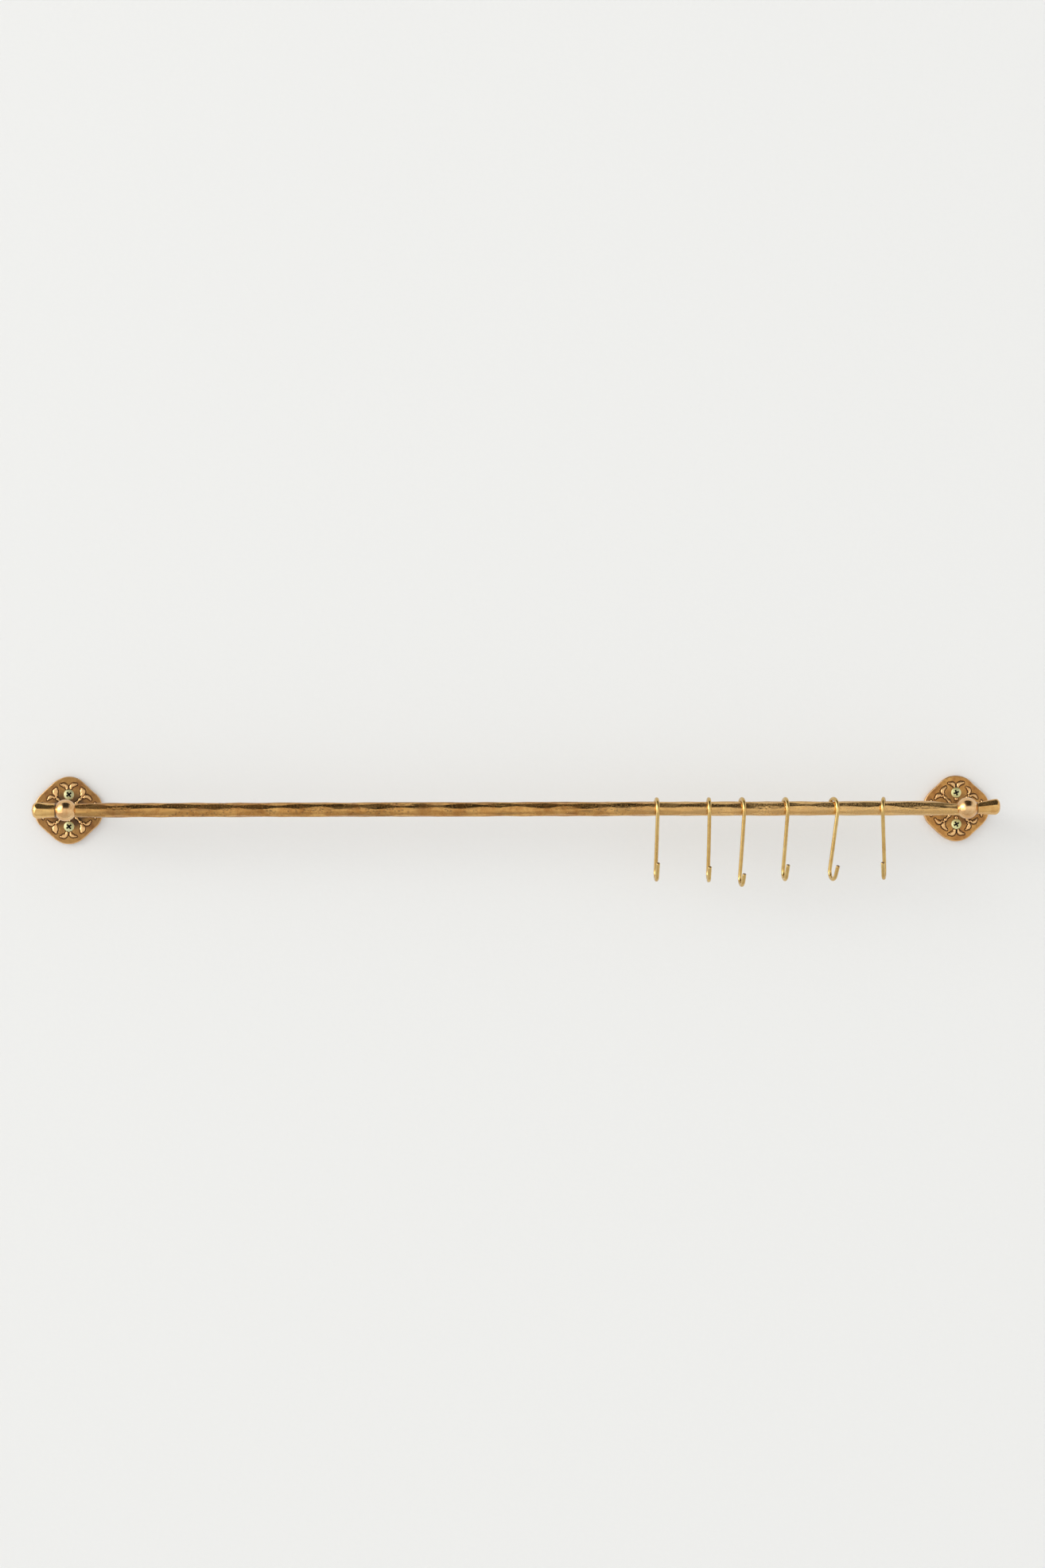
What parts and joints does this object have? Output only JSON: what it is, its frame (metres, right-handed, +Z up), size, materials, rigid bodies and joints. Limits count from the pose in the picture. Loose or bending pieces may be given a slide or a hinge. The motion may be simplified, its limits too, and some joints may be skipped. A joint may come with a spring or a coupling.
{
  "type": "kitchen utensil rail",
  "caption": "Wall-mounted hammered brass rail on two ornamented plates with ball posts, and S-hooks that slide along it for hanging kitchen utensils.",
  "frame": {"origin": "centre of the four wall screws, on the wall's face", "axes": "+X along the rail to the right as seen from the room, +Y into the wall, +Z up"},
  "size_m": [0.7664, 0.0886, 0.089],
  "materials": {
    "hammered_brass": "hammered, antiqued",
    "cast_brass": "cast, satin with darkened ground",
    "polished_brass": "polished",
    "wire_brass": "bright drawn wire",
    "zinc_steel": "yellow zinc plate"
  },
  "bodies": {
    "rail_and_brackets": {"rail_bar": "hammered_brass", "finial_left": "hammered_brass", "finial_right": "hammered_brass", "ball_post_left": "polished_brass", "ball_post_right": "polished_brass", "wall_plate_left": "cast_brass", "wall_plate_right": "cast_brass", "post_screw_left": "zinc_steel", "post_screw_right": "zinc_steel", "wall_screw_left_upper": "zinc_steel", "wall_screw_left_lower": "zinc_steel", "wall_screw_right_upper": "zinc_steel", "wall_screw_right_lower": "zinc_steel"},
    "s_hook_1": {"s_hook_1": "wire_brass"},
    "s_hook_2": {"s_hook_2": "wire_brass"},
    "s_hook_3": {"s_hook_3": "wire_brass"},
    "s_hook_4": {"s_hook_4": "wire_brass"},
    "s_hook_5": {"s_hook_5": "wire_brass"},
    "s_hook_6": {"s_hook_6": "wire_brass"}
  },
  "joints": [
    {"name": "s_hook_1_slide", "type": "slide", "parent": "rail_and_brackets", "child": "s_hook_1", "axis": [1, 0, 0], "range_m": [-0.4539, 0.0185]},
    {"name": "s_hook_2_slide", "type": "slide", "parent": "rail_and_brackets", "child": "s_hook_2", "axis": [1, 0, 0], "range_m": [-0.0185, 0.0105]},
    {"name": "s_hook_3_slide", "type": "slide", "parent": "rail_and_brackets", "child": "s_hook_3", "axis": [1, 0, 0], "range_m": [-0.0105, 0.0143]},
    {"name": "s_hook_4_slide", "type": "slide", "parent": "rail_and_brackets", "child": "s_hook_4", "axis": [1, 0, 0], "range_m": [-0.0143, 0.0158]},
    {"name": "s_hook_5_slide", "type": "slide", "parent": "rail_and_brackets", "child": "s_hook_5", "axis": [1, 0, 0], "range_m": [-0.0158, 0.0159]},
    {"name": "s_hook_6_slide", "type": "slide", "parent": "rail_and_brackets", "child": "s_hook_6", "axis": [1, 0, 0], "range_m": [-0.0159, 0.0564]}
  ]
}
